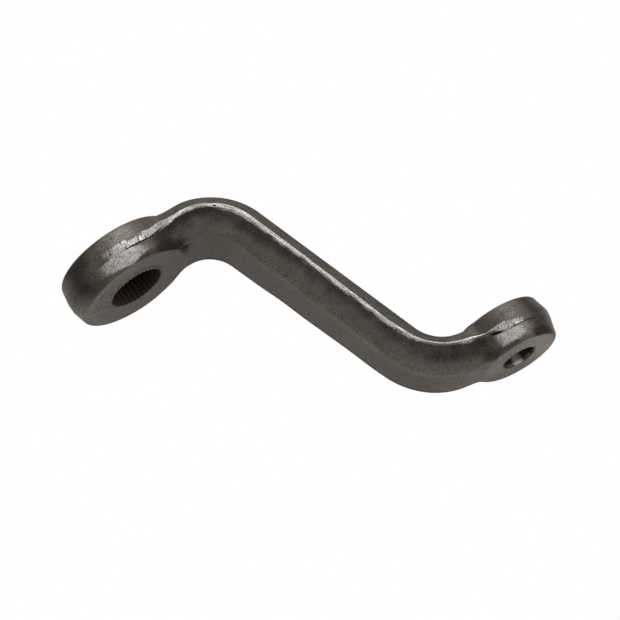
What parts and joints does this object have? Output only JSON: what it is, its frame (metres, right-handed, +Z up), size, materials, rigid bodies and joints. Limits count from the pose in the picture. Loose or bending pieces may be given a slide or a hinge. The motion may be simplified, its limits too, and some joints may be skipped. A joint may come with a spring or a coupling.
{
  "type": "pitman arm",
  "caption": "Forged steel drop pitman arm: a serrated eye for the steering shaft, a dropped arm with drafted edges, and an eye with a tapered stud hole.",
  "frame": {"origin": "middle of the serrated bore, halfway between the two faces of the larger eye", "axes": "+Z up along the serrated bore's axis, as on the vehicle; +X towards the smaller eye, which lies below; +Y across the arm"},
  "size_m": [0.202, 0.0662, 0.1579],
  "materials": {
    "forged_steel": "raw dark forging with a bright trimmed flash line"
  },
  "bodies": {
    "root": {"pitman_arm": "forged_steel"}
  },
  "joints": []
}
